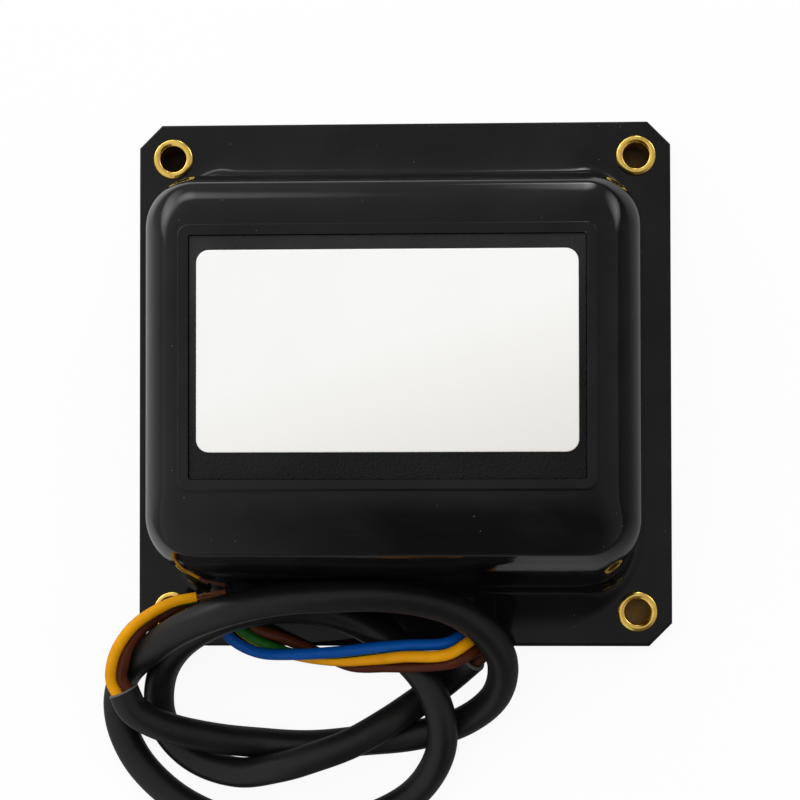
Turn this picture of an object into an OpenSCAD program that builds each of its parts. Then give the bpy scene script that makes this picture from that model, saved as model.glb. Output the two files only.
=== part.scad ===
// Ignition transformer: a moulded housing on a square mounting flange, filled with
// resin from the back, with a three-core lead coiled beside its lower edge.
// Z is up out of the back plane, X runs across the rating label and Y up it.

/* [Flange] */
// Width of the mounting flange, across the label
flange_w = 112; // [106:0.5:130]
// Height of the mounting flange, up the label
flange_d = 110; // [104:0.5:128]
// Thickness of the mounting flange
flange_t = 6; // [4:0.5:9]
// Length cut from each side at a flange corner
corner_cut = 4.8; // [2:0.2:8]
// Distance of the holes in from the flange's edges
hole_inset = 7.25; // [7:0.25:8]

/* [Eyelets] */
// Clear bore of an eyelet
eyelet_bore = 5.2; // [4.3:0.1:5.6]
// Sheet thickness of an eyelet
eyelet_wall = 0.4; // [0.3:0.05:0.6]
// Outer diameter of an eyelet's rolled head
eyelet_head = 8.5; // [8:0.1:10]
// Radial play of an eyelet in the flange
eyelet_play = 0.1; // [0.05:0.05:0.2]
// Depth of the eyelet's rolled tail below the back plane of the flange
tail_recess = 0.25; // [0.1:0.05:0.5]

/* [Body] */
// Width of the body at the flange
body_w = 93.6; // [90:0.2:98]
// Depth of the body at the flange
body_d = 87; // [84:0.5:92]
// Height of the body above the flange, to the face
body_h = 50; // [44:0.5:60]
// Corner radius of the body
body_r = 9.5; // [6:0.5:12]
// How far each long wall leans in for each millimetre of height
wall_lean = 0.193; // [0.12:0.01:0.22]
// How far the side shoulders come in
shoulder_in = 10.5; // [8:0.5:12]
// Height over which the side shoulders round
shoulder_rise = 18; // [12:0.5:24]
// Drop of the crowned face from the label frame to its upper and lower edge
crown_drop = 5; // [3:0.5:7]

/* [Label frame] */
// Outer width of the raised label frame
frame_w = 75.4; // [70:0.2:78]
// Outer height of the raised label frame
frame_d = 48; // [44:0.5:52]
// Width of the frame's border
frame_border = 2.1; // [1.4:0.1:3]
// Height of the frame above the face
frame_rise = 1.2; // [0.8:0.1:2]
// Outer corner radius of the frame
frame_r = 2; // [1:0.5:4]
// How far the frame sits above the middle of the body
frame_up = 1.7; // [0:0.1:3]
// Depth of the grained panel below the top of the frame
panel_drop = 0.6; // [0.4:0.05:0.7]
// Width of the rating label
label_w = 68.6; // [60:0.2:70]
// Height of the rating label
label_d = 36.4; // [30:0.2:40]
// Thickness of the rating label
label_t = 0.3; // [0.2:0.05:0.4]
// Corner radius of the rating label
label_r = 2.3; // [1:0.1:4]
// How far the label sits above the middle of the frame
label_up = 1.1; // [0:0.1:1.5]

/* [Back] */
// Width of the resin filling
resin_w = 85; // [80:0.5:86]
// Depth of the resin filling
resin_d = 66; // [60:0.5:68]
// Height of the resin filling above the back plane
resin_top = 40; // [34:0.5:42]
// Corner radius of the resin filling
resin_r = 6; // [4:0.5:8]
// Recess of the resin below the back plane of the flange
resin_recess = 0.8; // [0.4:0.1:1.5]
// Distance between the two high-voltage sockets
socket_pitch = 40; // [30:1:56]
// Distance of the sockets above the middle of the back
socket_up = 16; // [0:1:20]
// Outer diameter of a socket's insulator
socket_od = 13; // [11:0.5:16]
// Bore of a socket
socket_bore = 7.5; // [6.5:0.1:8.5]
// Depth of a socket's bore
socket_depth = 14; // [10:0.5:18]
// Diameter of the contact in the floor of a socket
contact_d = 4.5; // [3.5:0.1:6]
// Thickness of a socket's floor and of its contact
contact_t = 2; // [1.5:0.5:3]

/* [Lead] */
// Diameter of the lead's sheath
lead_od = 6.4; // [5.6:0.1:6.4]
// Diameter of an insulated core
core_od = 2.35; // [2:0.05:2.35]
// Diameter of a core's bare strands
strand_od = 1.2; // [0.9:0.05:1.4]
// Length of the bare strands
strand_len = 6; // [4:0.5:8]
// Distance between the cores where they leave the body
bush_pitch = 2.8; // [2.6:0.1:3]
// Height of the bush that the cores leave through
bush_h = 4.2; // [3.6:0.1:4.4]
// Reach of the bush out of the body, from the edge of the body at the flange
bush_reach = 3.4; // [3:0.1:3.6]
// Distance of the bush to the left of the middle
bush_left = 35.6; // [33:0.1:36.4]
// Play of the bush in the wall
bush_play = 0.1; // [0.05:0.05:0.2]

/* [Hidden] */

round_fn = 48;
hull_fn = 32;
overlap = 1;

face_z = flange_t + body_h;
frame_top = face_z + frame_rise;
panel_top = frame_top - panel_drop;
face_w = body_w - 2 * shoulder_in;
shoulder_z = body_h - shoulder_rise;
crown_z = body_h - crown_drop;
// rounding of the edge between a leaning wall and the crowned face
edge_in = 1.3;

hole_pitch_x = flange_w - 2 * hole_inset;
hole_pitch_y = flange_d - 2 * hole_inset;
eyelet_od = eyelet_bore + 2 * eyelet_wall;
flange_hole = eyelet_od + 2 * eyelet_play;
pocket_d = eyelet_head + 2 * eyelet_play;
roll_r = (eyelet_head - eyelet_bore) / 4;
tail_pocket = tail_recess + roll_r;

socket_bottom = resin_recess + socket_depth;
socket_top = socket_bottom + contact_t;

bush_w = 2 * bush_pitch + bush_h;
bush_z = flange_t + bush_h / 2;
bush_y = -(body_d / 2 + bush_reach);
core_ring = core_od / sqrt(3);
strand_sides = 8;
core_sides = 8;
sheath_sides = 10;

// middle line of the sheath, from the end that takes the transformer's cores
sheath_route = [
    [14.5, -57, 8.6], [9, -62, 5], [3, -66.6, 4.6], [-4, -71, 8.4], [-11, -74.8, 10],
    [-18.5, -77.6, 9.9], [-26, -79.9, 8.8], [-35.5, -81.6, 4.8], [-45, -78.6, 3.2], [-51.4, -71.2, 3.5],
    [-51.4, -62, 5.8], [-46.5, -54.5, 10], [-37.5, -49, 13.8], [-27.5, -46.6, 14.2],
    [-17.5, -47, 11.8], [-8.5, -50.3, 9.8], [-1, -55.6, 9.8], [5, -62, 11.2],
    [8, -70, 11], [7.2, -78, 8.4], [2, -86, 4], [-6.5, -91, 3.2], [-17, -94, 3.2],
    [-28, -94.5, 3.2], [-39, -92, 3.2], [-49, -87, 3.2], [-57, -79, 3.2],
    [-60.8, -69.5, 3.2], [-59, -61.4, 6.2], [-51.2, -54.7, 15.8], [-43.5, -49.8, 23],
    [-34, -46, 29], [-23.5, -43.6, 31.5], [-12.5, -42.8, 32], [-1.5, -42.8, 31.2],
    [9, -45, 28], [16.5, -50, 22.5], [20.5, -57, 16.4], [19, -65, 9], [12, -71, 4.2],
    [2, -74, 3.2], [-9, -75.2, 3.2], [-20, -76.2, 3.2], [-31, -75.6, 3.4],
    [-40, -74, 7.4], [-49, -71.4, 11], [-55.3, -67.8, 12.8], [-57.6, -63.4, 13.4]];

// middle lines of the cores between the bush and the sheath
blue_in_route = [[-36.5, -52.9, 8], [-30.6, -56.1, 8.1], [-22.6, -56.1, 12.3],
    [-13, -55.4, 13.5], [-4.4, -54.3, 15], [1.6, -53.7, 17.3], [8.9, -53.2, 18.6],
    [13.5, -51.4, 15.8], [15.6, -52.6, 12.7]];
green_in_route = [[-33.8, -51.7, 7.9], [-28.4, -54.8, 7.3], [-21.5, -56.7, 9.4],
    [-13.5, -57.5, 11], [-5.6, -56.9, 13.8], [0.8, -55.9, 18.4], [9.5, -55.2, 20.8],
    [16, -51.6, 16.5], [18.1, -52.4, 11.9]];
brown_in_route = [[-30.9, -50.9, 8.2], [-25.3, -53.1, 8.1], [-17.2, -56.6, 7],
    [-10.5, -58.8, 9.6], [-3.1, -58.5, 13.2], [3.2, -58.1, 16.5], [10.6, -57, 19.4],
    [15.6, -54.6, 16.5], [17.4, -54.9, 12.9]];

// middle lines of the cores beyond the other end of the sheath
blue_out_route = [
    [-59, -58, 13.6], [-57.6, -54.6, 14.8], [-55, -50.8, 14.6], [-51.2, -47.8, 12.6],
    [-46.4, -46, 10.8]];
green_out_route = [
    [-59.4, -58.4, 16], [-57.8, -54.4, 17.8], [-55, -50.5, 18.4], [-51.8, -47.8, 17.8],
    [-47, -45.2, 16], [-42, -44.2, 15]];
brown_out_route = [
    [-56.8, -57.6, 16], [-55.6, -54.2, 16.8], [-53.2, -50.8, 16.6], [-50.3, -48.3, 15.4],
    [-46, -45.8, 13.6], [-42, -44.9, 12.6]];

function unit(v) = v / norm(v);

// direction of a route at one of its points
function heading(p, i) = i == 0 ? unit(p[1] - p[0])
    : i == len(p) - 1 ? unit(p[i] - p[i - 1])
    : unit(unit(p[i + 1] - p[i]) + unit(p[i] - p[i - 1]));

// side directions carried along a route without twist
function carried(p, s, i = 0) = i == len(p) ? []
    : let (t = heading(p, i), side = unit(s - (s * t) * t))
      concat([side], carried(p, side, i + 1));

function level_side(t) = unit(cross(t, [0, 0, 1]));

// seat of one of three cores in an end of the sheath: turn is its angle round the end
function core_seat(end, t, turn) = let (side = level_side(t))
    end + core_ring * (cos(turn) * side + sin(turn) * cross(side, t));

in_end = sheath_route[0];
in_dir = unit(sheath_route[0] - sheath_route[1]);
out_end = sheath_route[len(sheath_route) - 1];
out_dir = unit(out_end - sheath_route[len(sheath_route) - 2]);
seat_run = 2.4;

// straight piece out of the bush, along the bush's own axis
function bush_start(k) = [for (run = [0, seat_run / 2])
    [-bush_left + k * bush_pitch, bush_y - run, bush_z]];

// straight piece out of an end of the sheath
function seat_start(end, t, turn) = [for (run = [0, seat_run])
    core_seat(end, t, turn) + run * t];

function reversed(p) = [for (i = [len(p) - 1 : -1 : 0]) p[i]];

function core_in(k, route, turn) = concat(bush_start(k), route,
    reversed(seat_start(in_end, in_dir, turn)));

function core_out(route, turn) = concat(seat_start(out_end, out_dir, turn), route);

function strand_run(route) = let (n = len(route), t = unit(route[n - 1] - route[n - 2]))
    [route[n - 1], route[n - 1] + strand_len * t];

module tube(route, d, sides) {
    side = carried(route, level_side(heading(route, 0)));
    rings = len(route);
    points = [for (i = [0 : rings - 1]) for (j = [0 : sides - 1])
        let (t = heading(route, i), a = 360 * j / sides)
        route[i] + d / 2 * (cos(a) * side[i] + sin(a) * cross(t, side[i]))];
    walls = [for (i = [0 : rings - 2]) for (j = [0 : sides - 1])
        let (a = i * sides + j, b = i * sides + (j + 1) % sides)
        each [[a + sides, b, a], [a + sides, b + sides, b]]];
    first = [for (j = [0 : sides - 1]) j];
    last = [for (j = [sides - 1 : -1 : 0]) (rings - 1) * sides + j];
    polyhedron(points = points, faces = concat([first], walls, [last]));
}

module rounded_rect(w, d, r) {
    square([w - 2 * r, d], center = true);
    square([w, d - 2 * r], center = true);
    for (x = [-1, 1], y = [-1, 1])
        translate([x * (w / 2 - r), y * (d / 2 - r)]) circle(r = r);
}

module slab(w, d, r, z0, z1) {
    translate([0, 0, z0]) linear_extrude(z1 - z0) rounded_rect(w, d, r);
}

module at_holes() {
    for (x = [-1, 1], y = [-1, 1])
        translate([x * hole_pitch_x / 2, y * hole_pitch_y / 2, 0]) children();
}

module at_sockets() {
    for (x = [-1, 1]) translate([x * socket_pitch / 2, socket_up, 0]) children();
}

// level slice of the body at height h above the flange
module body_slice(h, in_y) {
    rise = max(0, (h - shoulder_z) / shoulder_rise);
    in_x = shoulder_in * (1 - sqrt(1 - min(1, rise * rise)));
    translate([0, 0, flange_t + h]) linear_extrude(0.01)
        rounded_rect(body_w - 2 * in_x, body_d - 2 * in_y, body_r - in_x / 2);
}

module body_shell() {
    hull() {
        body_slice(-overlap, 0, $fn = hull_fn);
        body_slice(0, 0, $fn = hull_fn);
        for (f = [0, 0.4, 0.7])
            let (h = shoulder_z + f * (crown_z - shoulder_z))
            body_slice(h, h * wall_lean, $fn = hull_fn);
        body_slice(crown_z - edge_in, (crown_z - edge_in) * wall_lean, $fn = hull_fn);
        body_slice(crown_z + edge_in, crown_z * wall_lean + 2 * edge_in, $fn = hull_fn);
        body_slice(body_h - 0.01, (body_d - frame_d) / 2, $fn = hull_fn);
    }
}

module bush_profile(w, h) {
    square([w - h, h], center = true);
    for (x = [-1, 1]) translate([x * (w - h) / 2, 0]) circle(d = h);
}

// the bush's oblong, run from the resin out to y_end
module bush_run(w, h, y_end) {
    translate([-bush_left, -resin_d / 2, bush_z]) rotate([90, 0, 0])
        linear_extrude(-resin_d / 2 - y_end) bush_profile(w, h);
}

module housing() {
    color("#161617") difference() {
        union() {
            linear_extrude(flange_t) polygon([
                for (q = [[1, 1], [-1, 1], [-1, -1], [1, -1]])
                let (x = q[0] * flange_w / 2, y = q[1] * flange_d / 2,
                    a = [x - q[0] * corner_cut, y], b = [x, y - q[1] * corner_cut])
                each q[0] * q[1] > 0 ? [b, a] : [a, b]]);
            body_shell();
            translate([0, frame_up, 0])
                slab(frame_w, frame_d, frame_r, face_z - 2 * overlap, frame_top, $fn = round_fn);
        }
        translate([0, frame_up, face_z]) linear_extrude(frame_rise + overlap)
            square([frame_w - 2 * frame_border, frame_d - 2 * frame_border], center = true);
        slab(resin_w, resin_d, resin_r, -overlap, resin_top, $fn = round_fn);
        at_holes() {
            translate([0, 0, -overlap])
                cylinder(d = flange_hole, h = flange_t + 2 * overlap, $fn = round_fn);
            translate([0, 0, -overlap])
                cylinder(d = pocket_d, h = tail_pocket + overlap, $fn = round_fn);
        }
        bush_run(bush_w + 2 * bush_play, bush_h + 2 * bush_play, bush_y, $fn = round_fn);
    }
}

module potting_resin() {
    color("#2b2622") difference() {
        slab(resin_w, resin_d, resin_r, resin_recess, resin_top, $fn = round_fn);
        at_sockets() translate([0, 0, resin_recess - overlap])
            cylinder(d = socket_od, h = socket_top - resin_recess + overlap, $fn = round_fn);
    }
}

module label_panel() {
    color("#1d1d1f") translate([0, frame_up, face_z]) linear_extrude(frame_rise - panel_drop)
        square([frame_w - 2 * frame_border, frame_d - 2 * frame_border], center = true);
}

module rating_label() {
    color("#d9dadb") translate([0, frame_up + label_up, 0])
        slab(label_w, label_d, label_r, panel_top, panel_top + label_t, $fn = round_fn);
}

// half round section of a rolled rim, flat side at z = 0 and towards the flange
module rim_half(up) {
    intersection() {
        translate([eyelet_bore / 2 + roll_r, 0]) circle(r = roll_r);
        translate([0, up ? 0 : -roll_r]) square([eyelet_head, roll_r]);
    }
}

// one eyelet: a barrel with a rolled head on the flange and a rolled tail in its pocket
module eyelet(x, y) {
    color("#b08d4a") translate([x * hole_pitch_x / 2, y * hole_pitch_y / 2, 0])
        rotate_extrude($fn = round_fn) {
            translate([eyelet_bore / 2, tail_pocket])
                square([eyelet_wall, flange_t - tail_pocket]);
            translate([0, flange_t]) rim_half(true);
            translate([0, tail_pocket]) rim_half(false);
        }
}

module eyelet_upper_left() eyelet(-1, 1);
module eyelet_upper_right() eyelet(1, 1);
module eyelet_lower_left() eyelet(-1, -1);
module eyelet_lower_right() eyelet(1, -1);

// insulator of one high-voltage socket, open at the back
module socket(x) {
    color("#8e8a80") translate([x * socket_pitch / 2, socket_up, 0]) difference() {
        translate([0, 0, resin_recess])
            cylinder(d = socket_od, h = socket_top - resin_recess, $fn = round_fn);
        translate([0, 0, resin_recess - overlap])
            cylinder(d = socket_bore, h = socket_depth + overlap, $fn = round_fn);
        translate([0, 0, socket_bottom - overlap])
            cylinder(d = contact_d, h = contact_t + 2 * overlap, $fn = round_fn);
    }
}

module socket_left() socket(-1);
module socket_right() socket(1);

// contact that fills the hole in a socket's floor
module contact(x) {
    color("#c7a553") translate([x * socket_pitch / 2, socket_up, socket_bottom])
        cylinder(d = contact_d, h = contact_t, $fn = round_fn);
}

module contact_left() contact(-1);
module contact_right() contact(1);

module lead_bush() {
    color("#1b1b1c") bush_run(bush_w, bush_h, bush_y, $fn = round_fn);
}

module core(c, route) {
    color(c) tube(route, core_od, core_sides);
}

module core_in_blue() core("#1f5fa8", core_in(-1, blue_in_route, 150));
module core_in_green() core("#4f8f2f", core_in(0, green_in_route, 270));
module core_in_brown() core("#5c3826", core_in(1, brown_in_route, 30));
module core_out_blue() core("#1f5fa8", core_out(blue_out_route, 270));
module core_out_green() core("#4f8f2f", core_out(green_out_route, 150));
module core_out_brown() core("#5c3826", core_out(brown_out_route, 30));

module lead_sheath() {
    color("#202021") tube(sheath_route, lead_od, sheath_sides);
}

module strands(route) {
    color("#c98a5a") tube(strand_run(route), strand_od, strand_sides);
}

module strands_blue() strands(blue_out_route);
module strands_green() strands(green_out_route);
module strands_brown() strands(brown_out_route);

housing();
potting_resin();
label_panel();
rating_label();
eyelet_upper_left();
eyelet_upper_right();
eyelet_lower_left();
eyelet_lower_right();
socket_left();
socket_right();
contact_left();
contact_right();
lead_bush();
core_in_blue();
core_in_green();
core_in_brown();
lead_sheath();
core_out_blue();
core_out_green();
core_out_brown();
strands_blue();
strands_green();
strands_brown();
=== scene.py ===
import math
import bmesh
import bpy
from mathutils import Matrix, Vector, noise


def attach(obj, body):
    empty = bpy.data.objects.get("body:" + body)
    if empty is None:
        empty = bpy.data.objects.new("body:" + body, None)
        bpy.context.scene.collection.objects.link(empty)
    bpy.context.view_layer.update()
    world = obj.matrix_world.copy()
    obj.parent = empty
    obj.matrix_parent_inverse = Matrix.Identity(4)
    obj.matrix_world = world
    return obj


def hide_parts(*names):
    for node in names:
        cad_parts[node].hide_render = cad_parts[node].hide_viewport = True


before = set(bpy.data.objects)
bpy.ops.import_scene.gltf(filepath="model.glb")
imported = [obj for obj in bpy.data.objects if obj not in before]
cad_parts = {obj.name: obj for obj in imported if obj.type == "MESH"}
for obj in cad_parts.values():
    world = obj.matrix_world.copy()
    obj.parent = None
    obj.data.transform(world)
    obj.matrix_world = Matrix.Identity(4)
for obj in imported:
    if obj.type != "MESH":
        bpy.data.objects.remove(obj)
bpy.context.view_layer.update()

mm = 0.001
print("frame loaded")


cameraSpot = {
    "place": (20.5, -21.6, 346.0),      # mm, high over the label
    "turn": (0.94, 1.83, -0.11),        # degrees
    "lens": 72.99,
    "shift": (-0.0625, 0.075),
}


def makeCamera(spot):
    data = bpy.data.cameras.new("viewCamera")
    data.sensor_width = 36
    data.lens = spot["lens"]
    data.shift_x, data.shift_y = spot["shift"]
    data.clip_start, data.clip_end = 0.01, 20
    cam = bpy.data.objects.new("viewCamera", data)
    cam.location = Vector(spot["place"]) * mm
    cam.rotation_euler = [math.radians(a) for a in spot["turn"]]
    bpy.context.scene.collection.objects.link(cam)
    bpy.context.scene.camera = cam
    bpy.context.scene.view_settings.view_transform = 'Standard'
    print("camera placed")


makeCamera(cameraSpot)


class Wire:
    # a socket whose sums become Math nodes
    def __init__(self, finish, socket):
        self.finish = finish
        self.socket = socket

    def calc(self, kind, first, second=None, clamp=False):
        values = {0: first} if second is None else {0: first, 1: second}
        return self.finish.node("Math", {"operation": kind, "use_clamp": clamp}, values)

    def __add__(self, other):
        return self.calc('ADD', self, other)

    def __radd__(self, other):
        return self.calc('ADD', other, self)

    def __sub__(self, other):
        return self.calc('SUBTRACT', self, other)

    def __rsub__(self, other):
        return self.calc('SUBTRACT', other, self)

    def __mul__(self, other):
        return self.calc('MULTIPLY', self, other)

    def __rmul__(self, other):
        return self.calc('MULTIPLY', other, self)

    def over(self, edge, soft):
        # 0 up to edge, 1 from edge + soft on
        return self.calc('MULTIPLY', self - edge, 1 / soft, clamp=True)


class Finish:
    # the nodes of one material, or of the world
    def __init__(self, tree):
        self.tree = tree
        self.tree.nodes.clear()

    def feed(self, node, values):
        for key, value in values.items():
            slot = node.inputs[key]
            if isinstance(value, Wire):
                self.tree.links.new(value.socket, slot)
            elif slot.type == 'RGBA':
                slot.default_value = (*value, 1)
            else:
                slot.default_value = value

    def node(self, kind, settings=None, values=None, out=0):
        # settings come first, because some of them change the sockets
        node = self.tree.nodes.new("ShaderNode" + kind)
        for key, value in (settings or {}).items():
            setattr(node, key, value)
        self.feed(node, values or {})
        return Wire(self, node.outputs[out]) if node.outputs else None

    def spot(self, *scale):
        # place on the object, scale being cycles a millimetre along X, Y and Z
        scale = scale * 3 if len(scale) == 1 else scale
        return self.node("Mapping", None, {"Vector": self.node("TexCoord", out="Object"),
                                           "Scale": [1000 * s for s in scale]})

    def run(self, *scale):
        # a tube's own map: millimetres along it, and 0 to 1 round it
        return self.node("Mapping", None, {"Vector": self.node("UVMap", {"uv_map": "tubeMap"}),
                                           "Scale": scale})

    def noise(self, where, detail=3.0, rough=0.5, warp=0.0):
        return self.node("TexNoise", None, {"Vector": where, "Scale": 1.0, "Detail": detail,
                                            "Roughness": rough, "Distortion": warp})

    def cells(self, where, feature='F1', out="Distance"):
        return self.node("TexVoronoi", {"feature": feature}, {"Vector": where, "Scale": 1.0}, out)

    def specks(self, scale, size, soft, rarity):
        # round specks in the cells of a pattern, the fewer the nearer rarity is to 1
        where = self.spot(scale)
        pick = self.node("SeparateColor", None, {0: self.cells(where, out="Color")})
        return (1 - self.cells(where).over(size, soft)) * pick.over(rarity, 0.01)

    def towards(self, where, direction):
        # how far a place lies along a direction
        return self.node("VectorMath", {"operation": 'DOT_PRODUCT'},
                         {0: where, 1: direction}, "Value")

    def mix(self, amount, first, second):
        return self.node("Mix", {"data_type": 'RGBA'}, {0: amount, 6: first, 7: second}, 2)

    def between(self, amount, first, second):
        return self.node("Mix", {"data_type": 'FLOAT'}, {0: amount, 2: first, 3: second})

    def bump(self, height, depth, under=None):
        # depth in millimetres for a height of 1
        values = {"Height": height, "Distance": depth * mm, "Strength": 1.0}
        if under:
            values["Normal"] = under
        return self.node("Bump", None, values)


def newFinish(name):
    material = bpy.data.materials.new(name)
    material.use_nodes = True
    return material, Finish(material.node_tree)


def surface(f, **values):
    # the Principled shader of a finish, with its sockets' values or wires
    values = {key.replace("_", " "): value for key, value in values.items()}
    f.node("OutputMaterial", None, {0: f.node("BsdfPrincipled", None, values)})


def addPiece(name, build, material, sharp=35):
    # a new piece of the part: build fills the bmesh, edges over the angle stay sharp
    bm = bmesh.new()
    build(bm)
    mesh = bpy.data.meshes.new(name)
    bm.to_mesh(mesh)
    bm.free()
    mesh.materials.append(material)
    mesh.shade_smooth()
    mesh.set_sharp_from_angle(angle=math.radians(sharp))
    piece = bpy.data.objects.new(name, mesh)
    bpy.context.scene.collection.objects.link(piece)
    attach(piece, "root")
    return piece


def ringOf(bm, points):
    return [bm.verts.new(Vector(p) * mm) for p in points]


def bridge(bm, low, high):
    count = len(low)
    for i in range(count):
        j = (i + 1) % count
        bm.faces.new((low[i], low[j], high[j], high[i]))


def loft(bm, rings):
    made = [ringOf(bm, ring) for ring in rings]
    for low, high in zip(made, made[1:]):
        bridge(bm, low, high)
    return made


def roundedRing(halfX, halfY, radius, z, middle=(0, 0), bend=14, along=20):
    # counter-clockwise ring of a rounded rectangle, with the same count for every size
    points = []
    for q, (sx, sy) in enumerate([(1, 1), (-1, 1), (-1, -1), (1, -1)]):
        for k in range(bend + 1):
            a = math.radians(90 * (q + k / bend))
            points.append(Vector((sx * (halfX - radius) + radius * math.cos(a),
                                  sy * (halfY - radius) + radius * math.sin(a), z)))
    ring = []
    for q in range(4):
        corner = points[q * (bend + 1):(q + 1) * (bend + 1)]
        following = points[(q + 1) * (bend + 1) % len(points)]
        ring += corner + [corner[-1].lerp(following, k / along) for k in range(1, along)]
    return [point + Vector((*middle, 0)) for point in ring]


def circleRing(x, y, radius, z, count):
    return [(x + radius * math.cos(2 * math.pi * k / count),
             y + radius * math.sin(2 * math.pi * k / count), z) for k in range(count)]


def fillFlat(bm, loops, up):
    # flat face between closed loops of vertices, outer loop and holes alike
    edges = []
    for loop in loops:
        for a, b in zip(loop, loop[1:] + loop[:1]):
            edges.append(bm.edges.get((a, b)) or bm.edges.new((a, b)))
    made = bmesh.ops.triangle_fill(bm, use_beauty=True, use_dissolve=False, edges=edges)
    for face in made["geom"]:
        if isinstance(face, bmesh.types.BMFace):
            face.normal_update()
            if (face.normal.z > 0) != up:
                face.normal_flip()


def turned(bm, x, y, profile, count, closed=False):
    # profile: (radius, height) pairs turned about an upright axis
    rings = [ringOf(bm, circleRing(x, y, radius, z, count)) for radius, z in profile]
    for low, high in zip(rings, rings[1:] + (rings[:1] if closed else [])):
        bridge(bm, low, high)
    return rings


lead = {
    "sheath": 6.4,
    "core": 2.35,
    "sheathSides": 32,
    "sheathStep": 1.0,      # from ring to ring
    "coreSides": 20,
    "coreStep": 0.6,
    "seatRun": 2.4,         # straight run of a core out of the sheath, half of it out of the bush
    "seatDepth": 1.5,       # how far the cores go down into the sheath's ends
    "bore": 5.1,            # inside of the sheath
    "lip": 0.3,             # rounding of the sheath's cut ends
    "coreLip": 0.12,
    "swell": 0.035,         # half of how far the sheath sinks in between the cores
    "lay": 46,              # length in which the twisted cores turn by a third
    "wire": 0.24,           # one of the bare wires in a core
    "strandLength": 6.0,
    "bushPitch": 2.8,
}

sheathRoute = [
    (14.5, -57, 8.6), (9, -62, 5), (3, -66.6, 4.6), (-4, -71, 8.4), (-11, -74.8, 10),
    (-18.5, -77.6, 9.9), (-26, -79.9, 8.8), (-35.5, -81.6, 4.8), (-45, -78.6, 3.2),
    (-51.4, -71.2, 3.5), (-51.4, -62, 5.8), (-46.5, -54.5, 10), (-37.5, -49, 13.8),
    (-27.5, -46.6, 14.2), (-17.5, -47, 11.8), (-8.5, -50.3, 9.8), (-1, -55.6, 9.8),
    (5, -62, 11.2), (8, -70, 11), (7.2, -78, 8.4), (2, -86, 4), (-6.5, -91, 3.2),
    (-17, -94, 3.2), (-28, -94.5, 3.2), (-39, -92, 3.2), (-49, -87, 3.2), (-57, -79, 3.2),
    (-60.8, -69.5, 3.2), (-59, -61.4, 6.2), (-51.2, -54.7, 15.8), (-43.5, -49.8, 23),
    (-34, -46, 29), (-23.5, -43.6, 31.5), (-12.5, -42.8, 32), (-1.5, -42.8, 31.2),
    (9, -45, 28), (16.5, -50, 22.5), (20.5, -57, 16.4), (19, -65, 9), (12, -71, 4.2),
    (2, -74, 3.2), (-9, -75.2, 3.2), (-20, -76.2, 3.2), (-31, -75.6, 3.4), (-40, -74, 7.4),
    (-49, -71.4, 11), (-55.3, -67.8, 12.8), (-57.6, -63.4, 13.4)]

# each core into the sheath: its route, its hole in the bush (the middle one is 0), and its
# angle round the sheath's end
coresIn = {
    "blue": ([(-36.5, -52.9, 8), (-30.6, -56.1, 8.1), (-22.6, -56.1, 12.3), (-13, -55.4, 13.5),
              (-4.4, -54.3, 15), (1.6, -53.7, 17.3), (8.9, -53.2, 18.6), (13.5, -51.4, 15.8),
              (15.6, -52.6, 12.7)], -1, 150),
    "green": ([(-33.8, -51.7, 7.9), (-28.4, -54.8, 7.3), (-21.5, -56.7, 9.4), (-13.5, -57.5, 11),
               (-5.6, -56.9, 13.8), (0.8, -55.9, 18.4), (9.5, -55.2, 20.8), (16, -51.6, 16.5),
               (18.1, -52.4, 11.9)], 0, 270),
    "brown": ([(-30.9, -50.9, 8.2), (-25.3, -53.1, 8.1), (-17.2, -56.6, 7), (-10.5, -58.8, 9.6),
               (-3.1, -58.5, 13.2), (3.2, -58.1, 16.5), (10.6, -57, 19.4), (15.6, -54.6, 16.5),
               (17.4, -54.9, 12.9)], 1, 30),
}

# each free core: its route, and its angle round the sheath's other end
coresOut = {
    "blue": ([(-59, -58, 13.6), (-57.6, -54.6, 14.8), (-55, -50.8, 14.6), (-51.2, -47.8, 12.6),
              (-46.4, -46, 10.8)], 270),
    "green": ([(-59.4, -58.4, 16), (-57.8, -54.4, 17.8), (-55, -50.5, 18.4), (-51.8, -47.8, 17.8),
               (-47, -45.2, 16), (-42, -44.2, 15)], 150),
    "brown": ([(-56.8, -57.6, 16), (-55.6, -54.2, 16.8), (-53.2, -50.8, 16.6),
               (-50.3, -48.3, 15.4), (-46, -45.8, 13.6), (-42, -44.9, 12.6)], 30),
}


def curveThrough(points, step, lowest=0.0):
    # smooth line through the points, evenly spaced, never below the lowest height
    knots = [Vector(p) for p in points]
    knots = [2 * knots[0] - knots[1]] + knots + [2 * knots[-1] - knots[-2]]
    dense, parts = [], 16
    for a, b, c, d in zip(knots, knots[1:], knots[2:], knots[3:]):
        for k in range(parts):
            t = k / parts
            spot = 0.5 * (2 * b + (c - a) * t + (2 * a - 5 * b + 4 * c - d) * t * t
                          + (3 * b - a - 3 * c + d) * t * t * t)
            dense.append(Vector((spot.x, spot.y, max(spot.z, lowest))))
    dense.append(knots[-2])
    whole = lineLength(dense)
    count = max(2, round(whole / step))
    return [pointAt(dense, whole * k / count)[0] for k in range(count + 1)]


def lineLength(line):
    return sum((b - a).length for a, b in zip(line, line[1:]))


def pointAt(line, run):
    # point at a run along the line, and the heading there
    for a, b in zip(line, line[1:]):
        span = (b - a).length
        if run <= span or b is line[-1]:
            return a.lerp(b, run / span), (b - a).normalized()
        run -= span


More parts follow.
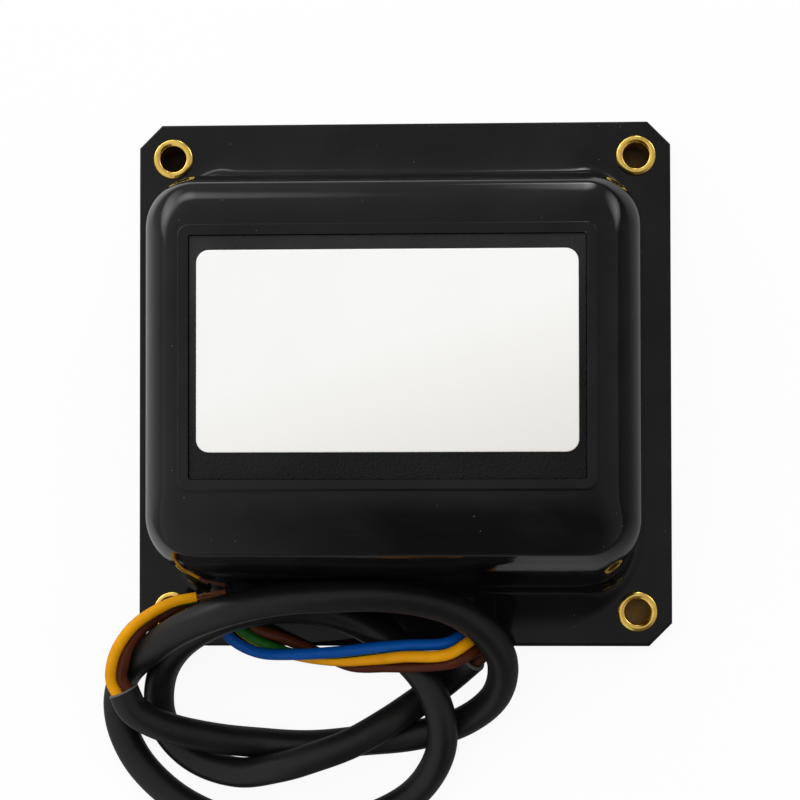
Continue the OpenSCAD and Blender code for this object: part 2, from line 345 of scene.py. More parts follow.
def buildTube(bm, line, stations, sides, swell=None, mapTurn=0.0):
    # stations: (run, radius) of each ring along the line, the first and last closed flat
    rings, side = [], None
    layer = bm.loops.layers.uv.new("tubeMap")
    for run, radius in stations:
        spot, ahead = pointAt(line, run)
        if side is None:
            side = ahead.cross(Vector((0, 0, 1)))
        side = (side - side.dot(ahead) * ahead).normalized()
        up = ahead.cross(side)
        ring = []
        for k in range(sides):
            turn = 2 * math.pi * k / sides
            reach = radius + (swell(run, turn) if swell else 0)
            ring.append(spot + reach * (math.cos(turn) * side + math.sin(turn) * up))
        rings.append((ringOf(bm, ring), run))
    for (low, lowRun), (high, highRun) in zip(rings, rings[1:]):
        for k in range(sides):
            j = (k + 1) % sides
            face = bm.faces.new((low[k], low[j], high[j], high[k]))
            corners = [(lowRun, k), (lowRun, k + 1), (highRun, k + 1), (highRun, k)]
            for loop, (run, turn) in zip(face.loops, corners):
                loop[layer].uv = (run, turn / sides + mapTurn)
    bm.faces.new(list(reversed(rings[0][0])))
    bm.faces.new(rings[-1][0])


def evenRuns(first, last, step):
    count = max(1, round((last - first) / step))
    return [first + (last - first) * k / count for k in range(count + 1)]


def across(ahead):
    # two directions square to a heading, the first one level
    side = ahead.cross(Vector((0, 0, 1))).normalized()
    return side, ahead.cross(side)


def seatRoute(end, ahead, turn):
    # straight way of one of the three cores out of an end of the sheath
    side, up = across(ahead)
    a = math.radians(turn)
    seat = end + lead["core"] / math.sqrt(3) * (math.cos(a) * side - math.sin(a) * up)
    return [seat - lead["seatDepth"] * ahead, seat + lead["seatRun"] * ahead]


sheathLine = curveThrough(sheathRoute, lead["sheathStep"], lead["sheath"] / 2)
inEnd, outEnd = Vector(sheathRoute[0]), Vector(sheathRoute[-1])
inAhead = (inEnd - Vector(sheathRoute[1])).normalized()
outAhead = (outEnd - Vector(sheathRoute[-2])).normalized()


def sheathSwell(run, turn):
    # the sheath sinks in a little between the three twisted cores
    return lead["swell"] * (math.sin(3 * turn - 2 * math.pi * run / lead["lay"]) - 1)


def buildSheath(bm):
    whole, lip, radius = lineLength(sheathLine), lead["lip"], lead["sheath"] / 2
    cut = [(lead["seatDepth"], lead["bore"] / 2), (0, lead["bore"] / 2), (0, radius - lip),
           (0.3 * lip, radius - 0.3 * lip), (lip, radius)]
    even = evenRuns(2 * lip, whole - 2 * lip, lead["sheathStep"])
    stations = cut + [(run, radius) for run in even]
    stations += [(whole - run, reach) for run, reach in reversed(cut)]
    buildTube(bm, sheathLine, stations, lead["sheathSides"], sheathSwell)


def buildCore(bm, line, mapTurn=0.0):
    whole, lip, radius = lineLength(line), lead["coreLip"], lead["core"] / 2
    step = lead["coreStep"]
    stations = [(0, radius - lip), (lip, radius)]
    stations += [(run, radius) for run in evenRuns(step, whole - step, step)]
    stations += [(whole - lip, radius), (whole, radius - lip)]
    buildTube(bm, line, stations, lead["coreSides"], mapTurn=mapTurn)


def buildStrands(bm, start, ahead):
    # bare wires twisted together, a little opened at the tip
    wire = lead["wire"]
    side, up = across(ahead)
    for count, reach in [(1, 0), (6, wire), (12, 2 * wire)]:
        for k in range(count):
            spots = []
            for i in range(9):
                t = i / 8
                turn = 2 * math.pi * (k / count + 0.35 * t + 0.04 * math.sin(5 * k + reach))
                out = reach * (0.94 + 0.12 * t * t)
                spots.append(start + t * lead["strandLength"] * (1 - 0.05 * abs(math.sin(3 * k)))
                             * ahead + out * (math.cos(turn) * side + math.sin(turn) * up))
            wireTube(bm, spots, wire / 2)


def wireTube(bm, spots, radius):
    side, up = across((spots[-1] - spots[0]).normalized())
    rings = [ringOf(bm, [spot + radius * (math.cos(math.pi * k / 4) * side
                                          + math.sin(math.pi * k / 4) * up) for k in range(8)])
             for spot in spots]
    for low, high in zip(rings, rings[1:]):
        bridge(bm, low, high)
    bm.faces.new(list(reversed(rings[0])))
    bm.faces.new(rings[-1])


def leadPieces():
    sheathStuff = sheathFinish()
    coreStuff = {"blue": coreFinish("blue"), "green": coreFinish("green"),
                 "brown": coreFinish("brown")}
    copper = strandFinish()
    sheath = addPiece("leadSheath", buildSheath, sheathStuff)
    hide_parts("lead_sheath")
    ends = []
    for colour, (route, turn) in coresOut.items():
        line = curveThrough(seatRoute(outEnd, outAhead, turn) + route, lead["coreStep"])
        core = addPiece("coreOut" + colour.title(),
                        lambda bm: buildCore(bm, line, coreTones["outTurn"]), coreStuff[colour])
        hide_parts("core_out_" + colour)
        ahead = (Vector(route[-1]) - Vector(route[-2])).normalized()
        wires = addPiece("strands" + colour.title(),
                         lambda bm: buildStrands(bm, Vector(route[-1]), ahead), copper)
        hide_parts("strands_" + colour)
        ends += [core, wires]
    lineLength(sheathLine) * mm
    [p * mm for p in sheathLine]
    left, z = back["bush"]
    y = back["bushEnd"]
    for colour, (route, hole, turn) in coresIn.items():
        x = hole * lead["bushPitch"] - left
        way = [(x, y, z), (x, y - lead["seatRun"] / 2, z)] + route
        way += seatRoute(inEnd, inAhead, turn)[::-1]
        line = curveThrough(way, lead["coreStep"])
        core = addPiece("coreIn" + colour.title(),
                        lambda bm: buildCore(bm, line), coreStuff[colour])
        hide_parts("core_in_" + colour)
        [c * mm for c in way[0]]
        lineLength(line) * mm
        [p * mm for p in line]
    print("lead laid,", round(lineLength(sheathLine)), "mm of sheath")


housing = {
    "flange": (112, 110, 6),
    "cornerCut": 4.8,
    "edge": 0.6,                  # rounding of the flange's upper edge
    "backEdge": 0.4,
    "body": (93.6, 87, 50),
    "bodyRadius": 9.5,
    # height of the long walls and how far they have come in: leaning more and more,
    # then over a small edge into the crown
    "lean": [(0, 0), (10, 1.5), (20, 3.1), (30, 5.1), (38, 7.2), (42, 8.4), (44.4, 9.15),
             (45, 9.4), (45.45, 9.8), (46.25, 10.8), (47.05, 11.9), (47.85, 13.1), (48.5, 14.3),
             (49.1, 15.8), (49.6, 17.7), (49.9, 19.6), (50, 21.5)],
    "fillet": (3.6, 8, 4.4),      # reach along X and Y and height, at the foot of the walls
    "filletRadius": 21,           # of the fillet's corners, where it meets the flange
    "shoulderIn": 10.5,
    "shoulderRise": 18,
    "frame": (75.4, 48, 1.2),     # round the label panel, with its height over the crown
    "frameRadius": 2,
    "frameOuter": 0.35,           # rounding of its edges
    "frameInner": 0.25,
    "border": 2.1,
    "frameUp": 1.7,               # its middle, towards the far side
    "pocket": (85, 66, 40),
    "pocketRadius": 6,
    "holes": (97.5, 95.5),
    "holeRadius": 3.1,
    "tailRadius": 4.35,           # recess in the back for an eyelet's tail
    "tailDepth": 1.075,
}
flangeTop = housing["flange"][2]
faceTop = flangeTop + housing["body"][2]
holePlaces = [(sx * housing["holes"][0] / 2, sy * housing["holes"][1] / 2)
              for sx in (-1, 1) for sy in (-1, 1)]


def flangeRing(inset, z):
    # the flange's outline with its cut corners, moved in by the inset
    x, y = housing["flange"][0] / 2 - inset, housing["flange"][1] / 2 - inset
    cut = housing["cornerCut"] - inset * (2 - math.sqrt(2))
    corners = [(x, -y + cut), (x, y - cut), (x - cut, y), (cut - x, y),
               (-x, y - cut), (-x, cut - y), (cut - x, -y), (x - cut, -y)]
    ring = []
    for a, b in zip(corners, corners[1:] + corners[:1]):
        ring += [Vector((*a, z)).lerp(Vector((*b, z)), k / 12) for k in range(12)]
    return ring


def bodyRing(height, inY, spread=0.0):
    # spread goes from 0 on the wall to 1 at the outer end of the fillet
    wide, deep, tall = housing["body"]
    rise = max(0, 1 + (height - tall) / housing["shoulderRise"])
    inX = housing["shoulderIn"] * (1 - math.sqrt(max(0, 1 - rise * rise)))
    outX, outY, _ = housing["fillet"]
    radius = housing["bodyRadius"] - inX / 2
    return roundedRing(wide / 2 - inX + outX * spread, deep / 2 - inY + outY * spread,
                       radius + (housing["filletRadius"] - radius) * spread, flangeTop + height)


def buildHousing(bm):
    edge, backEdge, fillet = housing["edge"], housing["backEdge"], housing["fillet"][2]
    quarter = [(math.sin(math.pi / 8 * k), math.cos(math.pi / 8 * k)) for k in range(5)]
    hem = 0.3               # one more ring beside a rounded edge keeps the flat even
    rim = [flangeRing(backEdge + hem, 0)]
    rim += [flangeRing(backEdge * (1 - out), backEdge * (1 - up)) for out, up in quarter]
    rim += [flangeRing(edge * (1 - up), flangeTop - edge * (1 - out)) for out, up in quarter]
    rim.append(flangeRing(edge + hem, flangeTop))
    rim = loft(bm, rim)
    wall = [bodyRing(0, 0, 1.05)]
    for k in range(13):
        a = math.pi / 2 * k / 12
        height = fillet * (1 - math.cos(a))
        wall.append(bodyRing(height, 0.15 * height, 1 - math.sin(a)))
    way = curveThrough([(inY, 0, height) for height, inY in housing["lean"]], 0.3)
    wall += [bodyRing(p.z, p.x) for p in way if p.z > fillet + 0.2]
    wall = loft(bm, wall)
    bm.faces.new(wall[-1])
    wide, deep, tall = housing["pocket"]
    pocket = [roundedRing(wide / 2 + grow, deep / 2 + grow, housing["pocketRadius"] + grow, z)
              for grow, z in [(0.7, 0), (0.4, 0), (0.15, 0.1), (0.03, 0.25), (0, 0.45),
                              (0, 6), (0, tall)]]
    pocket = loft(bm, pocket)
    bm.faces.new(pocket[-1])
    topLoops, backLoops = [rim[-1], wall[0]], [rim[0], pocket[0]]
    for x, y in holePlaces:
        wide, narrow, deep = housing["tailRadius"], housing["holeRadius"], housing["tailDepth"]
        hole = turned(bm, x, y, [(wide + 0.35, 0), (wide + 0.15, 0), (wide, 0.15), (wide, deep),
                                 (narrow, deep), (narrow, flangeTop - 0.2),
                                 (narrow + 0.2, flangeTop), (narrow + 0.5, flangeTop)], 32)
        topLoops.append(hole[-1])
        backLoops.append(hole[0])
    fillFlat(bm, topLoops, True)
    fillFlat(bm, backLoops, False)
    buildFrame(bm)
    bmesh.ops.recalc_face_normals(bm, faces=bm.faces)


def buildFrame(bm):
    # the raised frame round the label panel
    wide, deep, rise = housing["frame"]
    top, border, corner = faceTop + rise, housing["border"], housing["frameRadius"]
    outer, inner = housing["frameOuter"], housing["frameInner"]
    steps = [(0, faceTop - 2.5, corner), (0, top - outer, corner)]
    steps += [(outer * (1 - math.cos(a)), top - outer * (1 - math.sin(a)), corner)
              for a in [math.pi / 8 * k for k in range(1, 5)]]
    steps += [(0.6, top, 1.9), (border - 0.5, top, 0.7), (border - inner, top, 0.5)]
    steps += [(border - inner * math.cos(a), top - inner * (1 - math.sin(a)), 0.4)
              for a in [math.pi / 2 * (1 - k / 4) for k in range(1, 5)]]
    steps += [(border, faceTop - 0.1, 0.4), (border, faceTop - 2.5, 0.4)]
    rings = loft(bm, [roundedRing(wide / 2 - inset, deep / 2 - inset, radius, z,
                                  (0, housing["frameUp"]), 6)
                      for inset, z, radius in steps])
    bridge(bm, rings[-1], rings[0])


def housingFinish():
    material, f = newFinish("housingPlastic")
    smudge = f.noise(f.spot(0.045), 4, 0.55, 0.6)
    haze = f.noise(f.spot(0.35), 3, 0.6)
    dust = f.specks(0.9, 0.045, 0.04, 0.93)
    lines = f.noise(f.spot(0.02, 2.2, 0.3), 2, 0.5, 0.3)
    scratch = lines.over(0.685, 0.01) * smudge.over(0.5, 0.05)
    tone = f.mix(smudge.over(0.3, 0.45), (0.0025, 0.0025, 0.003), (0.0085, 0.0085, 0.0093))
    tone = f.mix(dust * 0.55, tone, (0.35, 0.34, 0.32))
    peel = f.bump(f.noise(f.spot(0.8), 2), 0.0022)
    sink = f.bump(f.noise(f.spot(0.035), 2), 0.09, peel)
    marks = f.bump(scratch, 0.003, sink)
    surface(f, Base_Color=tone, Normal=marks, Specular_IOR_Level=0.22,
            Roughness=0.035 + smudge * 0.05 + haze * 0.04 + dust * 0.4 + scratch * 0.12)
    return material


def housingPieces():
    shell = addPiece("housingShell", buildHousing, housingFinish())
    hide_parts("housing")
    print("housing made")


label = {
    "size": (68.6, 36.4, 0.3),
    "radius": 2.3,
    "up": 2.8,              # its middle, towards the far side
    "panelDrop": 0.6,       # from the frame's top down to the panel
    "wave": 0.018,          # how uneven the foil lies
}


def buildLabel(bm):
    wide, deep, thick = label["size"]
    base = faceTop + housing["frame"][2] - label["panelDrop"]
    middle = (0, label["up"])
    steps = [(0, 0), (0, thick - 0.1), (0.03, thick - 0.03), (0.1, thick), (0.3, thick), (1, thick)]
    steps += [(inset, thick) for inset in (2.2, 4, 6, 8, 10, 12, 14, 16)]
    rings = []
    for inset, z in steps:
        ring = roundedRing(wide / 2 - inset, deep / 2 - inset, max(0.4, label["radius"] - inset),
                           base + z, middle, 8, 24)
        if inset >= 1:
            for point in ring:
                point.z += label["wave"] * noise.noise(Vector((0.11 * point.x, 0.16 * point.y, 3)))
        rings.append(ring)
    made = loft(bm, rings)
    bm.faces.new(made[-1])
    bm.faces.new(made[0][::-1])


def labelFinish():
    material, f = newFinish("labelFoil")
    fibre = f.noise(f.spot(0.25, 2.4, 1), 3, 0.6)
    age = f.noise(f.spot(0.04), 3, 0.5, 0.4)
    fleck = f.noise(f.spot(3.2), 2, 0.6).over(0.7, 0.05)
    # darker and a little warmer towards the near right corner: partly painted shade, partly
    # yellowing of the foil
    shadeAndYellowing = f.towards(f.spot(1), (0.3, -1, 0))
    tone = f.mix(age, (0.93, 0.93, 0.915), (0.895, 0.89, 0.865))
    tone = f.mix(shadeAndYellowing.over(-4, 32), tone, (0.76, 0.735, 0.68))
    tone = f.mix(fleck * 0.25, tone, (0.55, 0.53, 0.48))
    tone = f.mix(fibre * 0.15, tone, (0.9, 0.9, 0.89))
    grain = f.bump(fibre, 0.008)
    surface(f, Base_Color=tone, Normal=f.bump(age, 0.05, grain),
            Roughness=0.36 + fibre * 0.14 + fleck * 0.1)
    return material


def panelFinish():
    material, f = newFinish("grainedPanel")
    pebble = f.cells(f.spot(2.6), 'SMOOTH_F1')
    crease = f.noise(f.spot(2.2), 3, 0.6, 0.4)
    worn = f.noise(f.spot(0.08), 3)
    # tone runs from near black on the near side to lighter on the far left: painted shade and
    # painted light, as the light falls on the panel
    paintedLightFar = f.towards(f.spot(1), (-0.35, 1, 0))
    tone = f.mix(paintedLightFar.over(-14, 40), (0.0008, 0.0008, 0.001), (0.022, 0.022, 0.023))
    tone = f.mix(worn.over(0.4, 0.3) * 0.5, tone, (0.006, 0.006, 0.0065))
    under = f.bump(crease, 0.08)
    surface(f, Base_Color=tone, Normal=f.bump(pebble, 0.12, under), Specular_IOR_Level=0.25,
            Roughness=0.34 + worn * 0.16)
    return material


def labelPieces():
    panel = bpy.data.objects["label_panel"]
    panel.data.materials[0] = panelFinish()
    plate = addPiece("ratingLabel", buildLabel, labelFinish(), 50)
    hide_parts("rating_label")
    print("label panel and label made")


eyelet = {
    "bore": 2.6,
    "wall": 0.4,
    "head": 4.25,
    "tail": 1.075,          # height at which the rolled tail begins
}


def buildEyelet(bm, x, y):
    bore, head = eyelet["bore"], eyelet["head"]
    roll = (head - bore) / 2
    profile = [(bore, 1.4), (bore, 3), (bore, flangeTop - 0.1)]
    for k in range(11):
        a = math.pi * (1 - k / 10)
        profile.append((bore + roll + roll * math.cos(a), flangeTop + roll * math.sin(a)))
    profile += [(head - 0.25, flangeTop - 0.02), (bore + eyelet["wall"], flangeTop - 0.02),
                (bore + eyelet["wall"], 3), (bore + eyelet["wall"], eyelet["tail"])]
    for k in range(11):
        a = math.pi * k / 10
        profile.append((bore + roll + roll * math.cos(a), eyelet["tail"] - roll * math.sin(a)))
    turned(bm, x, y, profile, 64, True)
    bmesh.ops.recalc_face_normals(bm, faces=bm.faces)


def brassFinish():
    material, f = newFinish("eyeletBrass")
    stain = f.noise(f.spot(0.5), 4, 0.6, 0.5)
    ring = f.noise(f.spot(0.4, 0.4, 5), 2, 0.5)
    tone = f.mix(stain.over(0.5, 0.3), (0.96, 0.65, 0.15), (0.66, 0.36, 0.05))
    pits = f.bump(f.noise(f.spot(3.5), 2), 0.004)
    surface(f, Base_Color=tone, Metallic=1.0, Normal=f.bump(ring, 0.012, pits),
            Roughness=0.1 + stain * 0.12)
    return material


def eyeletPieces():
    brass = brassFinish()
    names = ["lower_left", "upper_left", "lower_right", "upper_right"]
    for name, (x, y) in zip(names, holePlaces):
        piece = addPiece("eyelet" + name.title().replace("_", ""),
                         lambda bm: buildEyelet(bm, x, y), brass, 60)
        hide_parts("eyelet_" + name)
    print("four eyelets made")


back = {
    "recess": 0.8,
    "socket": (20, 16),     # X and Y of the right socket
    "socketRadius": 6.5,
    "boreRadius": 3.75,
    "boreTop": 14.8,
    "floor": 2,             # thickness over the bore
    "contactRadius": 2.25,
    "resinTop": 4,          # hidden upper side of the resin
    "creep": 0.35,          # how far the resin has crept up at an edge
    "bush": (35.6, 8.1),    # distance to the left, and height
    "bushSize": (9.8, 4.2),
    "bushEnd": -46.9,       # where it ends outside the wall, along Y
}


def buildResin(bm):
    # poured surface, creeping up at the walls and round the sockets
    wide, deep, _ = housing["pocket"]
    countX, countY = 90, 72
    verts = {}
    for i in range(countX + 1):
        for k in range(countY + 1):
            x = (wide + 1.6) * (i / countX - 0.5)
            y = (deep + 1.6) * (k / countY - 0.5)
            wall = min(wide / 2 - abs(x), deep / 2 - abs(y))
            post = min(math.hypot(x - s * back["socket"][0], y - back["socket"][1])
                       for s in (-1, 1)) - back["socketRadius"]
            creep = back["creep"] * (math.exp(-max(0, wall) / 0.9) + math.exp(-max(0, post) / 0.8))
            wave = (0.22 * noise.noise(Vector((0.06 * x, 0.07 * y, 1)))
                    + 0.05 * noise.noise(Vector((0.3 * x, 0.3 * y, 5))))
            z = back["recess"] + 0.12 + wave - min(0.5, creep)
            verts[i, k] = bm.verts.new(Vector((x, y, z)) * mm)
    for i in range(countX):
        for k in range(countY):
            face = bm.faces.new((verts[i, k], verts[i, k + 1],
                                 verts[i + 1, k + 1], verts[i + 1, k]))
            middle = face.calc_center_median() / mm
            if min(math.hypot(middle.x - s * back["socket"][0], middle.y - back["socket"][1])
                   for s in (-1, 1)) < back["socketRadius"] - 1.2:
                bm.faces.remove(face)
    bmesh.ops.delete(bm, geom=[v for v in bm.verts if not v.link_faces], context='VERTS')
    # the hidden upper side, then the walls between the two
    poured, rim = list(bm.faces), [edge for edge in bm.edges if edge.is_boundary]
    above = {v: bm.verts.new((v.co.x, v.co.y, back["resinTop"] * mm)) for v in list(bm.verts)}
    for face in poured:
        bm.faces.new([above[v] for v in reversed(face.verts)])
    for edge in rim:
        start, stop = edge.verts
        bm.faces.new((start, stop, above[stop], above[start]))
    bmesh.ops.recalc_face_normals(bm, faces=bm.faces)


def resinFinish():
    material, f = newFinish("pottingResin")
    cloud = f.noise(f.spot(0.06), 5, 0.6, 0.8)
    pit = f.specks(0.55, 0.1, 0.06, 0.8)
    tone = f.mix(cloud, (0.012, 0.009, 0.007), (0.03, 0.022, 0.016))
    under = f.bump(f.noise(f.spot(0.7), 3), 0.03)
    surface(f, Base_Color=tone, Normal=f.bump(1 - pit, 0.25, under),
            Roughness=0.22 + cloud * 0.2 + pit * 0.2)
    return material


def buildSocket(bm, x):
    outer, bore = back["socketRadius"], back["boreRadius"]
    low, top = back["recess"], back["boreTop"]
    profile = [(outer, top + back["floor"]), (outer, low + 0.3), (outer - 0.09, low + 0.09),
               (outer - 0.3, low), (bore + 0.45, low), (bore + 0.12, low + 0.12),
               (bore, low + 0.45),
               (bore, 5), (bore, 5.2), (bore + 0.25, 5.4), (bore + 0.25, 6), (bore, 6.2),
               (bore, top - 0.3), (bore - 0.3, top), (back["contactRadius"], top),
               (back["contactRadius"], top + back["floor"])]
    turned(bm, x, back["socket"][1], profile, 56, True)
    bmesh.ops.recalc_face_normals(bm, faces=bm.faces)


def insulatorFinish():
    material, f = newFinish("insulator")
    fleck = f.noise(f.spot(1.6), 4, 0.7)
    stain = f.noise(f.spot(0.12), 3)
    tone = f.mix(fleck, (0.23, 0.215, 0.185), (0.31, 0.295, 0.26))
    tone = f.mix(stain * 0.5, tone, (0.16, 0.14, 0.11))
    surface(f, Base_Color=tone, Normal=f.bump(fleck, 0.02), Roughness=0.38 + stain * 0.2)
    return material


def contactFinish():
    material, f = newFinish("contactBrass")
    turns = f.noise(f.spot(2.5), 3, 0.6)
    tone = f.mix(turns, (0.78, 0.57, 0.24), (0.52, 0.36, 0.14))
    surface(f, Base_Color=tone, Metallic=1.0, Normal=f.bump(turns, 0.02),
            Roughness=0.2 + turns * 0.2)
    return material


def buildBush(bm):
    # oblong sleeve through the wall, with a soft front edge and a collar for each core
    left, height = back["bush"]
    wide, tall = back["bushSize"]
    end = back["bushEnd"]
    rings = []
    for inset, y in [(0, -40), (0, end + 0.9), (0.12, end + 0.6), (0.4, end + 0.35),
                     (0.9, end + 0.3)]:
        halfWide, halfTall = wide / 2 - inset, tall / 2 - inset
        ring = roundedRing(halfWide, halfTall, halfTall - 0.001, 0, bend=10, along=8)
        rings.append([Vector((p.x - left, y, p.y + height)) for p in ring])
    made = loft(bm, rings)
    bm.faces.new(made[0])
    bm.faces.new(made[-1])
    for hole in (-1, 0, 1):
        profile = [(1.2, 0.5), (1.2, 0.04), (1.26, 0), (1.36, 0.05), (1.4, 0.2), (1.4, 0.5)]
        rings = [ringOf(bm, [(hole * lead["bushPitch"] - left + r * math.cos(math.pi * k / 12),
                              end + inward, height + r * math.sin(math.pi * k / 12))
                             for k in range(24)]) for r, inward in profile]
        for low, high in zip(rings, rings[1:]):
            bridge(bm, low, high)
    bmesh.ops.recalc_face_normals(bm, faces=bm.faces)


def bushFinish():
    material, f = newFinish("bushRubber")
    fine = f.noise(f.spot(1.4), 4, 0.6)
    tone = f.mix(fine, (0.009, 0.009, 0.0095), (0.018, 0.018, 0.018))
    surface(f, Base_Color=tone, Normal=f.bump(fine, 0.03), Roughness=0.42 + fine * 0.16)
    return material


def backPieces():
    resin = addPiece("resinFilling", buildResin, resinFinish(), 50)
    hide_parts("potting_resin")
    clay, brass = insulatorFinish(), contactFinish()
    for name, x in [("left", -back["socket"][0]), ("right", back["socket"][0])]:
        piece = addPiece("socket" + name.title(), lambda bm: buildSocket(bm, x), clay)
        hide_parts("socket_" + name)
        bpy.data.objects["contact_" + name].data.materials[0] = brass
    bush = addPiece("leadBush", buildBush, bushFinish())
    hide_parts("lead_bush")
    print("back and bush made")


def sheathFinish():
    material, f = newFinish("sheathRubber")
    streak = f.noise(f.run(0.03, 26, 1), 3, 0.6)
    grain = f.noise(f.spot(2.4), 3, 0.65)
    scuff = f.noise(f.spot(0.14), 4, 0.65, 0.5)
    tone = f.mix(scuff, (0.003, 0.003, 0.0032), (0.009, 0.0088, 0.0084))
    tone = f.mix(grain.over(0.66, 0.04) * 0.35, tone, (0.06, 0.058, 0.055))
    along = f.node("SeparateXYZ", None, {0: f.run(1, 1, 1)})
    whole, lip = lineLength(sheathLine), lead["lip"]
    # lighter grey at the cut ends and a thin ring past the lip: partly the cut's own tone, partly a
    # painted highlight on the lip
    cutEndsAndHighlight = 1 - along.over(1.2 * lip, 0.1) + along.over(whole - 1.2 * lip, 0.1)
    tone = f.mix(cutEndsAndHighlight, tone, (0.11, 0.11, 0.105))
    under = f.bump(streak, 0.018)
    surface(f, Base_Color=tone, Normal=f.bump(grain, 0.014, under), Specular_IOR_Level=0.3,
            Roughness=0.27 + scuff * 0.16 + grain * 0.08)
    return material


coreTones = {
    "blue": ((0.0005, 0.06, 0.29), (0.001, 0.095, 0.41)),
    "green": ((0.73, 0.28, 0.001), (0.89, 0.41, 0.003)),
    "brown": ((0.046, 0.009, 0.003), (0.088, 0.021, 0.007)),
    "stripe": (0.012, 0.10, 0.012),     # on the yellow core, which is the one named green
    "stripeTurn": 100,                  # length in which the stripe goes round once
    "stripeStart": 0.73,
    "outTurn": 0.44,                    # how far it is turned on the free core
}


def coreFinish(colour):
    material, f = newFinish("core" + colour.title())
    cloud = f.noise(f.run(0.35, 3, 1), 4, 0.6)
    dark, light = coreTones[colour]
    tone = f.mix(cloud, dark, light)
    if colour == "green":
        split = f.node("SeparateXYZ", None, {0: f.run(1 / coreTones["stripeTurn"], 1, 1)})
        turn = f.node("SeparateXYZ", None, {0: f.run(1, 1, 1)}, out="Y")
        around = split.calc('FRACT', split + turn + coreTones["stripeStart"])
        band = around.over(0.30, 0.02) * (1 - around.over(0.68, 0.02))
        tone = f.mix(band, tone, coreTones["stripe"])
    grime = f.noise(f.spot(0.5), 4, 0.6)
    tone = f.mix(grime.over(0.55, 0.3) * 0.15, tone, (0.02, 0.016, 0.012))
    surface(f, Base_Color=tone, Normal=f.bump(f.noise(f.run(0.5, 9, 1), 3), 0.02),
            Specular_IOR_Level=0.13, Roughness=0.25 + grime * 0.2)
    return material


def strandFinish():
    material, f = newFinish("strandCopper")
    tarnish = f.noise(f.spot(1.2), 4, 0.6)
    tone = f.mix(tarnish, (0.83, 0.42, 0.24), (0.50, 0.22, 0.11))
    surface(f, Base_Color=tone, Metallic=1.0, Normal=f.bump(tarnish, 0.01),
            Roughness=0.22 + tarnish * 0.2)
    return material


room = {
    "ambientLeft": 0.75,    # light from all round
    "ambientRight": 0.5,
    "nearLeft": 0.7,        # light from above the near side, where the viewer stands
    "nearRight": 0.1,
    "floorReach": 1500,
    "floorDrop": 0.2,       # below the part's back
    "floorLeft": 0.24,      # how pale the floor is to all but the eye
    "floorRight": 0.12,
    "white": 0.92,          # share of plain white that the eye sees in the floor
    "mirrorLeft": 0.36,     # the same share for reflections
    "mirrorRight": 0.03,
    "underInset": 3,        # patch of floor below the part, in from the flange's edge
    "under": (0.006, 0.003, 0.001),     # painted shade of the floor below the part, which the eyelets let through
    # painted light on that patch, towards the near right
    "underLit": (0.17, 0.11, 0.035),
    "lamps": {              # place, size, power, whether it shows in reflections
        "lampAbove": ((0.05, 0.35, 0.95), (0.9, 0.9), 5.3, False),
    },
    "glows": [              # soft boxes low on the far side: heading, reach, strength
        ((-0.35, 0.92, 0.18), (0.30, 0.3, 0.07), 6),
        ((0.14, 0.985, 0), (0.18, 0.3, 0.05), 16),
        ((0.16, 0.98, 0.08), (0.17, 0.3, 0.09), 8),
        ((-0.78, 0.60, 0.12), (0.5, 0.5, 0.22), 5),
        ((0.78, 0.60, 0.10), (0.4, 0.4, 0.16), 5),
    ],
}


def addLamp(name, place, size, power, mirrored):
    data = bpy.data.lights.new(name, 'AREA')
    data.shape = 'RECTANGLE'
    data.size, data.size_y = size
    data.energy = power
    lamp = bpy.data.objects.new(name, data)
    lamp.location = place
    lamp.rotation_euler = (-Vector(place)).to_track_quat('-Z', 'Y').to_euler()
    lamp.visible_camera = False
    lamp.visible_glossy = mirrored
    bpy.context.scene.collection.objects.link(lamp)


def floorFinish():
    # white to the eye, and still shaded beside the part
    material, f = newFinish("floorWhite")
    eye = f.node("LightPath", out="Is Camera Ray")
    mirror = f.node("LightPath", out="Is Glossy Ray")
    through = f.node("LightPath", out="Is Transmission Ray")
    # greyer towards the right for all but the eye, and reflections see less white there: painted
    # shade on that side of the floor
    side = f.towards(f.spot(1), (-0.95, 0.3, 0)).over(-110, 220)
    grey = f.mix(side, (room["floorRight"],) * 3, (room["floorLeft"],) * 3)
    tone = f.mix(eye, grey, (0.95, 0.95, 0.95))
    plain = f.node("BsdfDiffuse", None, {"Color": tone})
    glow = f.node("Emission", None, {"Color": (1, 1, 1), "Strength": 1.0})
    seen = f.between(side, room["mirrorRight"], room["mirrorLeft"])
    share = (eye * room["white"] + mirror * seen + through * room["white"]).over(0, 1)
    both = f.node("MixShader", None, {0: share, 1: plain, 2: glow})
    f.node("OutputMaterial", None, {0: both})
    return material


def underShadeFinish():
    material, f = newFinish("floorUnderShade")
    # painted shade on the floor below the part, with painted light towards the near right, where it
    # falls in through the eyelets
    lit = f.towards(f.spot(1), (1, -1, 0))
    stain = f.noise(f.spot(0.3), 4, 0.6)
    tone = f.mix(lit.over(-40, 130) * (0.6 + stain * 0.6), room["under"], room["underLit"])
    surface(f, Base_Color=tone, Roughness=0.8)
    return material


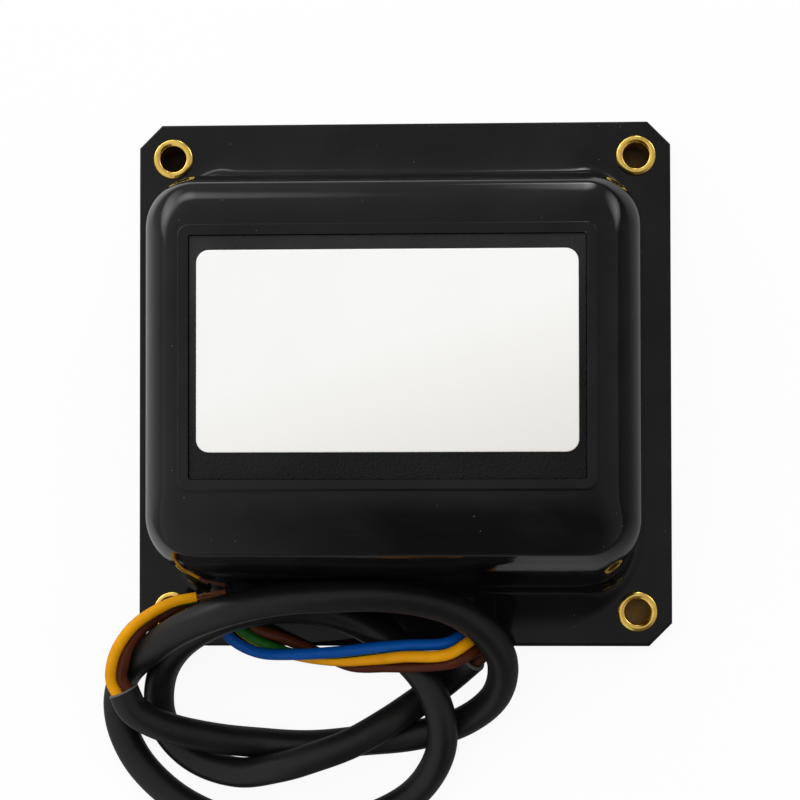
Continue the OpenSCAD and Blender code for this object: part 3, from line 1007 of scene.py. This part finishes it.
def makeFloor():
    bm = bmesh.new()
    wide, deep, _ = housing["flange"]
    inset, reach, low = room["underInset"], room["floorReach"], -room["floorDrop"]
    corners = [(1, 1), (-1, 1), (-1, -1), (1, -1)]
    inner = ringOf(bm, [(sx * (wide / 2 - inset), sy * (deep / 2 - inset), low)
                        for sx, sy in corners])
    outer = ringOf(bm, [(sx * reach, sy * reach, low) for sx, sy in corners])
    # the patch below the part gets the painted shade
    bm.faces.new(inner).material_index = 1
    bridge(bm, outer, inner)
    bmesh.ops.recalc_face_normals(bm, faces=bm.faces)
    mesh = bpy.data.meshes.new("floor")
    bm.to_mesh(mesh)
    bm.free()
    mesh.materials.append(floorFinish())
    mesh.materials.append(underShadeFinish())
    floor = bpy.data.objects.new("floor", mesh)
    bpy.context.scene.collection.objects.link(floor)


def makeSky():
    # light from all sides, a little brighter on the left and weaker from above the near side
    world = bpy.data.worlds.new("room")
    world.use_nodes = True
    bpy.context.scene.world = world
    f = Finish(world.node_tree)
    way = f.node("TexCoord", out="Generated")
    nearness = f.towards(way, (0, -0.85, 0.53))
    sideways = f.node("SeparateXYZ", None, {0: way})
    near = f.between(sideways.over(-0.2, 0.14), room["nearLeft"], room["nearRight"])
    even = f.between(sideways.over(-0.2, 0.4), room["ambientLeft"], room["ambientRight"])
    light = f.between(nearness.over(0.58, 0.3), even, near)
    for heading, reach, strength in room["glows"]:
        off = f.node("VectorMath", {"operation": 'SUBTRACT'}, {0: way, 1: heading})
        off = f.node("VectorMath", {"operation": 'DIVIDE'}, {0: off, 1: reach})
        far = f.node("VectorMath", {"operation": 'LENGTH'}, {0: off}, "Value")
        light = light + (1 - far).over(0, 1) * strength
    eye = f.node("LightPath", out="Is Camera Ray")
    glow = f.node("Background", None, {"Color": (1, 1, 1), "Strength": light})
    white = f.node("Background", None, {"Color": (1, 1, 1), "Strength": 1.0})
    both = f.node("MixShader", None, {0: eye, 1: glow, 2: white})
    f.node("OutputWorld", None, {0: both})


def makeRoom():
    makeFloor()
    makeSky()
    for name, (place, size, power, mirrored) in room["lamps"].items():
        addLamp(name, place, size, power, mirrored)
    print("room lit")


leadPieces()
housingPieces()
labelPieces()
eyeletPieces()
backPieces()
makeRoom()
